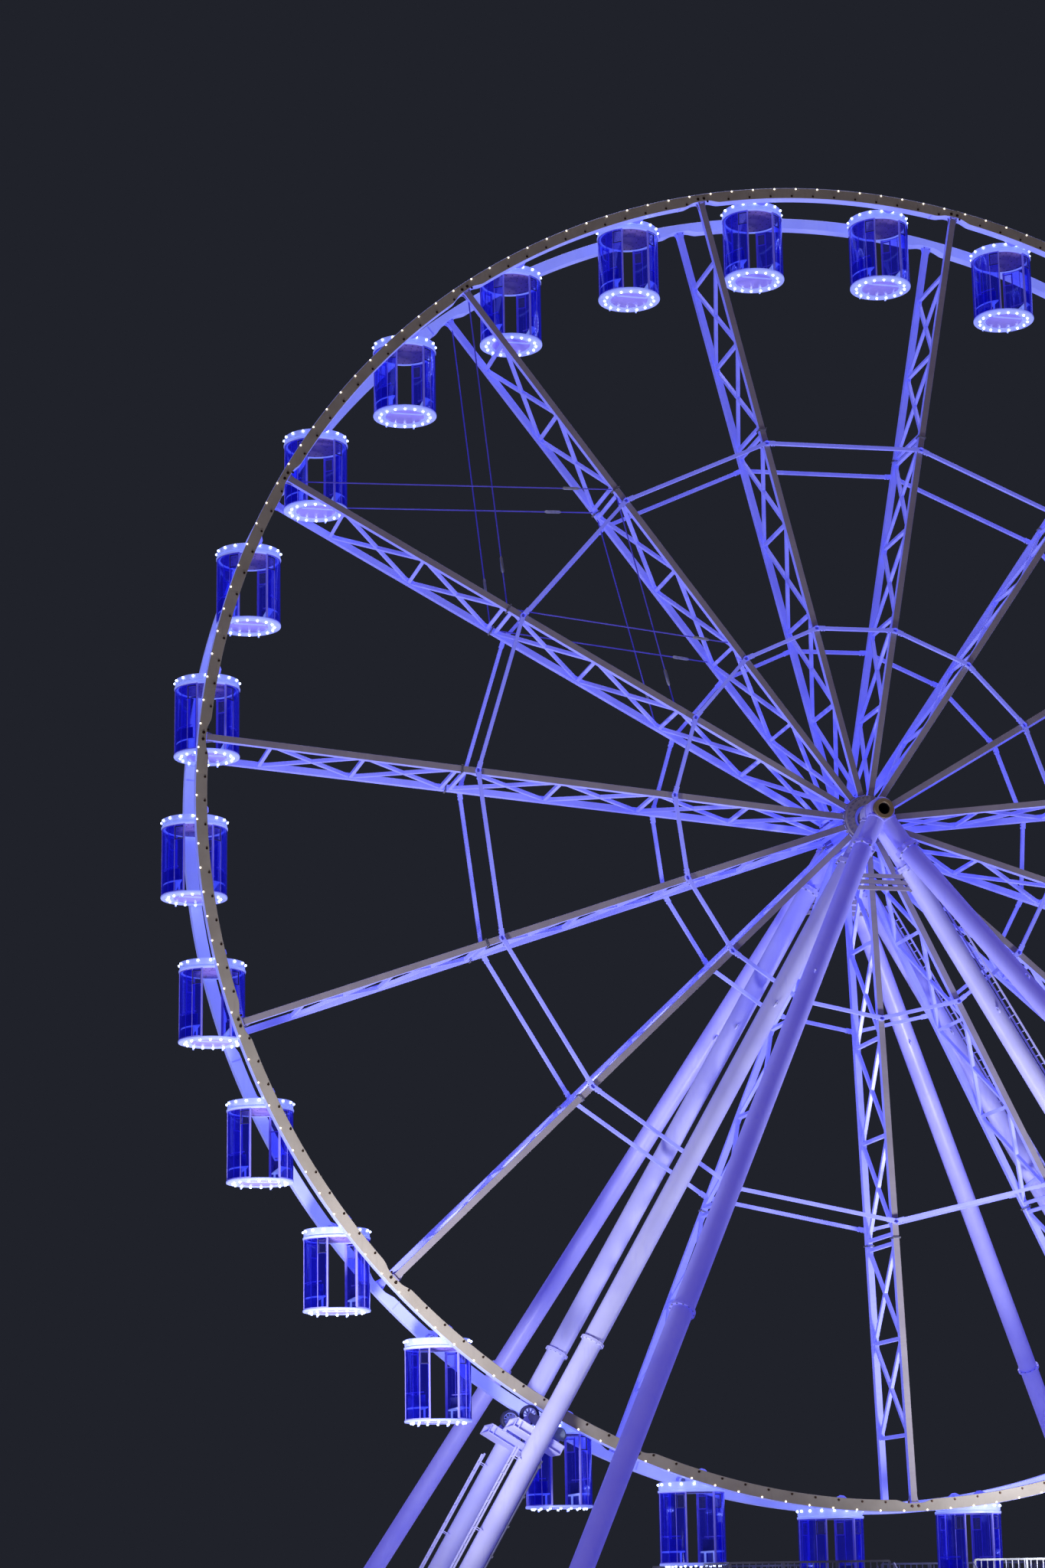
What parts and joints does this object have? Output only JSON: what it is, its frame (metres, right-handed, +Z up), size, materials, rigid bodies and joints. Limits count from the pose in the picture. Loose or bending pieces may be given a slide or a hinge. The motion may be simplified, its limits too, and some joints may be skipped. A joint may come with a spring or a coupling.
{
  "type": "ferris wheel, half-size scale model",
  "caption": "Half-size scale model of a transportable observation wheel: trussed wheel with level glass cabins on a tubular A-frame stand with tyre drives.",
  "frame": {"origin": "on the ground under the middle of the axle", "axes": "+Z up, +Y along the axle towards the rear, +X to the right seen from the front"},
  "size_m": [22.8984, 16.678, 24.1683],
  "materials": {
    "white_steel": "satin paint",
    "cream_steel": "satin paint",
    "grey_steel": "galvanised, dull",
    "cabin_shell": "tinted glass in white frames",
    "tyre_rubber": "matt"
  },
  "bodies": {
    "frame": {"axle": "cream_steel", "front_inner_legs": "white_steel", "front_outer_legs": "white_steel", "rear_inner_legs": "white_steel", "rear_outer_legs": "white_steel", "base_frame": "grey_steel", "boarding_platform": "grey_steel"},
    "wheel": {"hub": "white_steel", "front_rim": "cream_steel", "rear_rim": "white_steel", "outer_hoop": "white_steel", "inner_hoop": "white_steel", "spoke_01": "white_steel", "spoke_02": "white_steel", "spoke_03": "white_steel", "spoke_04": "white_steel", "spoke_05": "white_steel", "spoke_06": "white_steel", "spoke_07": "white_steel", "spoke_08": "white_steel", "spoke_09": "white_steel", "spoke_10": "white_steel", "spoke_11": "white_steel", "spoke_12": "white_steel", "spoke_13": "white_steel", "spoke_14": "white_steel", "spoke_15": "white_steel"},
    "cabin_01": {"cabin_01": "cabin_shell"},
    "cabin_02": {"cabin_02": "cabin_shell"},
    "cabin_03": {"cabin_03": "cabin_shell"},
    "cabin_04": {"cabin_04": "cabin_shell"},
    "cabin_05": {"cabin_05": "cabin_shell"},
    "cabin_06": {"cabin_06": "cabin_shell"},
    "cabin_07": {"cabin_07": "cabin_shell"},
    "cabin_08": {"cabin_08": "cabin_shell"},
    "cabin_09": {"cabin_09": "cabin_shell"},
    "cabin_10": {"cabin_10": "cabin_shell"},
    "cabin_11": {"cabin_11": "cabin_shell"},
    "cabin_12": {"cabin_12": "cabin_shell"},
    "cabin_13": {"cabin_13": "cabin_shell"},
    "cabin_14": {"cabin_14": "cabin_shell"},
    "cabin_15": {"cabin_15": "cabin_shell"},
    "cabin_16": {"cabin_16": "cabin_shell"},
    "cabin_17": {"cabin_17": "cabin_shell"},
    "cabin_18": {"cabin_18": "cabin_shell"},
    "cabin_19": {"cabin_19": "cabin_shell"},
    "cabin_20": {"cabin_20": "cabin_shell"},
    "cabin_21": {"cabin_21": "cabin_shell"},
    "cabin_22": {"cabin_22": "cabin_shell"},
    "cabin_23": {"cabin_23": "cabin_shell"},
    "cabin_24": {"cabin_24": "cabin_shell"},
    "cabin_25": {"cabin_25": "cabin_shell"},
    "cabin_26": {"cabin_26": "cabin_shell"},
    "cabin_27": {"cabin_27": "cabin_shell"},
    "cabin_28": {"cabin_28": "cabin_shell"},
    "cabin_29": {"cabin_29": "cabin_shell"},
    "cabin_30": {"cabin_30": "cabin_shell"},
    "front_tyre": {"front_drive_tyre": "tyre_rubber"},
    "rear_tyre": {"rear_drive_tyre": "tyre_rubber"}
  },
  "joints": [
    {"name": "wheel_spin", "type": "hinge", "parent": "frame", "child": "wheel", "pos_m": [0, 0, 13.15], "axis": [0, 1, 0], "continuous": true},
    {"name": "cabin_01_level", "type": "hinge", "parent": "wheel", "child": "cabin_01", "pos_m": [0.87637, 0, 24.0423], "axis": [0, 1, 0], "continuous": true},
    {"name": "cabin_02_level", "type": "hinge", "parent": "wheel", "child": "cabin_02", "pos_m": [-1.40741, 0, 23.98649], "axis": [0, 1, 0], "continuous": true},
    {"name": "cabin_03_level", "type": "hinge", "parent": "wheel", "child": "cabin_03", "pos_m": [-3.62969, 0, 23.45707], "axis": [0, 1, 0], "continuous": true},
    {"name": "cabin_04_level", "type": "hinge", "parent": "wheel", "child": "cabin_04", "pos_m": [-5.69333, 0, 22.47718], "axis": [0, 1, 0], "continuous": true},
    {"name": "cabin_05_level", "type": "hinge", "parent": "wheel", "child": "cabin_05", "pos_m": [-7.50815, 0, 21.08965], "axis": [0, 1, 0], "continuous": true},
    {"name": "cabin_06_level", "type": "hinge", "parent": "wheel", "child": "cabin_06", "pos_m": [-8.99482, 0, 19.35511], "axis": [0, 1, 0], "continuous": true},
    {"name": "cabin_07_level", "type": "hinge", "parent": "wheel", "child": "cabin_07", "pos_m": [-10.08838, 0, 17.34939], "axis": [0, 1, 0], "continuous": true},
    {"name": "cabin_08_level", "type": "hinge", "parent": "wheel", "child": "cabin_08", "pos_m": [-10.74103, 0, 15.16013], "axis": [0, 1, 0], "continuous": true},
    {"name": "cabin_09_level", "type": "hinge", "parent": "wheel", "child": "cabin_09", "pos_m": [-10.92424, 0, 12.88302], "axis": [0, 1, 0], "continuous": true},
    {"name": "cabin_10_level", "type": "hinge", "parent": "wheel", "child": "cabin_10", "pos_m": [-10.63001, 0, 10.61758], "axis": [0, 1, 0], "continuous": true},
    {"name": "cabin_11_level", "type": "hinge", "parent": "wheel", "child": "cabin_11", "pos_m": [-9.8712, 0, 8.46281], "axis": [0, 1, 0], "continuous": true},
    {"name": "cabin_12_level", "type": "hinge", "parent": "wheel", "child": "cabin_12", "pos_m": [-8.68097, 0, 6.5129], "axis": [0, 1, 0], "continuous": true},
    {"name": "cabin_13_level", "type": "hinge", "parent": "wheel", "child": "cabin_13", "pos_m": [-7.11134, 0, 4.85306], "axis": [0, 1, 0], "continuous": true},
    {"name": "cabin_14_level", "type": "hinge", "parent": "wheel", "child": "cabin_14", "pos_m": [-5.2309, 0, 3.55584], "axis": [0, 1, 0], "continuous": true},
    {"name": "cabin_15_level", "type": "hinge", "parent": "wheel", "child": "cabin_15", "pos_m": [-3.12186, 0, 2.67793], "axis": [0, 1, 0], "continuous": true},
    {"name": "cabin_16_level", "type": "hinge", "parent": "wheel", "child": "cabin_16", "pos_m": [-0.87637, 0, 2.2577], "axis": [0, 1, 0], "continuous": true},
    {"name": "cabin_17_level", "type": "hinge", "parent": "wheel", "child": "cabin_17", "pos_m": [1.40741, 0, 2.31351], "axis": [0, 1, 0], "continuous": true},
    {"name": "cabin_18_level", "type": "hinge", "parent": "wheel", "child": "cabin_18", "pos_m": [3.62969, 0, 2.84293], "axis": [0, 1, 0], "continuous": true},
    {"name": "cabin_19_level", "type": "hinge", "parent": "wheel", "child": "cabin_19", "pos_m": [5.69333, 0, 3.82282], "axis": [0, 1, 0], "continuous": true},
    {"name": "cabin_20_level", "type": "hinge", "parent": "wheel", "child": "cabin_20", "pos_m": [7.50815, 0, 5.21035], "axis": [0, 1, 0], "continuous": true},
    {"name": "cabin_21_level", "type": "hinge", "parent": "wheel", "child": "cabin_21", "pos_m": [8.99482, 0, 6.94489], "axis": [0, 1, 0], "continuous": true},
    {"name": "cabin_22_level", "type": "hinge", "parent": "wheel", "child": "cabin_22", "pos_m": [10.08838, 0, 8.95061], "axis": [0, 1, 0], "continuous": true},
    {"name": "cabin_23_level", "type": "hinge", "parent": "wheel", "child": "cabin_23", "pos_m": [10.74103, 0, 11.13987], "axis": [0, 1, 0], "continuous": true},
    {"name": "cabin_24_level", "type": "hinge", "parent": "wheel", "child": "cabin_24", "pos_m": [10.92424, 0, 13.41698], "axis": [0, 1, 0], "continuous": true},
    {"name": "cabin_25_level", "type": "hinge", "parent": "wheel", "child": "cabin_25", "pos_m": [10.63001, 0, 15.68243], "axis": [0, 1, 0], "continuous": true},
    {"name": "cabin_26_level", "type": "hinge", "parent": "wheel", "child": "cabin_26", "pos_m": [9.8712, 0, 17.83719], "axis": [0, 1, 0], "continuous": true},
    {"name": "cabin_27_level", "type": "hinge", "parent": "wheel", "child": "cabin_27", "pos_m": [8.68097, 0, 19.7871], "axis": [0, 1, 0], "continuous": true},
    {"name": "cabin_28_level", "type": "hinge", "parent": "wheel", "child": "cabin_28", "pos_m": [7.11134, 0, 21.44694], "axis": [0, 1, 0], "continuous": true},
    {"name": "cabin_29_level", "type": "hinge", "parent": "wheel", "child": "cabin_29", "pos_m": [5.2309, 0, 22.74416], "axis": [0, 1, 0], "continuous": true},
    {"name": "cabin_30_level", "type": "hinge", "parent": "wheel", "child": "cabin_30", "pos_m": [3.12186, 0, 23.62207], "axis": [0, 1, 0], "continuous": true},
    {"name": "front_tyre_spin", "type": "hinge", "parent": "frame", "child": "front_tyre", "pos_m": [-5.83694, -0.64, 3.62499], "axis": [0, 1, 0], "continuous": true},
    {"name": "rear_tyre_spin", "type": "hinge", "parent": "frame", "child": "rear_tyre", "pos_m": [-5.83694, 0.64, 3.62499], "axis": [0, 1, 0], "continuous": true}
  ],
  "couplings": [
    {"joint": "cabin_01_level", "follows": "wheel_spin", "ratio": -1},
    {"joint": "cabin_02_level", "follows": "wheel_spin", "ratio": -1},
    {"joint": "cabin_03_level", "follows": "wheel_spin", "ratio": -1},
    {"joint": "cabin_04_level", "follows": "wheel_spin", "ratio": -1},
    {"joint": "cabin_05_level", "follows": "wheel_spin", "ratio": -1},
    {"joint": "cabin_06_level", "follows": "wheel_spin", "ratio": -1},
    {"joint": "cabin_07_level", "follows": "wheel_spin", "ratio": -1},
    {"joint": "cabin_08_level", "follows": "wheel_spin", "ratio": -1},
    {"joint": "cabin_09_level", "follows": "wheel_spin", "ratio": -1},
    {"joint": "cabin_10_level", "follows": "wheel_spin", "ratio": -1},
    {"joint": "cabin_11_level", "follows": "wheel_spin", "ratio": -1},
    {"joint": "cabin_12_level", "follows": "wheel_spin", "ratio": -1},
    {"joint": "cabin_13_level", "follows": "wheel_spin", "ratio": -1},
    {"joint": "cabin_14_level", "follows": "wheel_spin", "ratio": -1},
    {"joint": "cabin_15_level", "follows": "wheel_spin", "ratio": -1},
    {"joint": "cabin_16_level", "follows": "wheel_spin", "ratio": -1},
    {"joint": "cabin_17_level", "follows": "wheel_spin", "ratio": -1},
    {"joint": "cabin_18_level", "follows": "wheel_spin", "ratio": -1},
    {"joint": "cabin_19_level", "follows": "wheel_spin", "ratio": -1},
    {"joint": "cabin_20_level", "follows": "wheel_spin", "ratio": -1},
    {"joint": "cabin_21_level", "follows": "wheel_spin", "ratio": -1},
    {"joint": "cabin_22_level", "follows": "wheel_spin", "ratio": -1},
    {"joint": "cabin_23_level", "follows": "wheel_spin", "ratio": -1},
    {"joint": "cabin_24_level", "follows": "wheel_spin", "ratio": -1},
    {"joint": "cabin_25_level", "follows": "wheel_spin", "ratio": -1},
    {"joint": "cabin_26_level", "follows": "wheel_spin", "ratio": -1},
    {"joint": "cabin_27_level", "follows": "wheel_spin", "ratio": -1},
    {"joint": "cabin_28_level", "follows": "wheel_spin", "ratio": -1},
    {"joint": "cabin_29_level", "follows": "wheel_spin", "ratio": -1},
    {"joint": "cabin_30_level", "follows": "wheel_spin", "ratio": -1},
    {"joint": "front_tyre_spin", "follows": "wheel_spin", "ratio": -73.467},
    {"joint": "rear_tyre_spin", "follows": "wheel_spin", "ratio": -73.467}
  ]
}
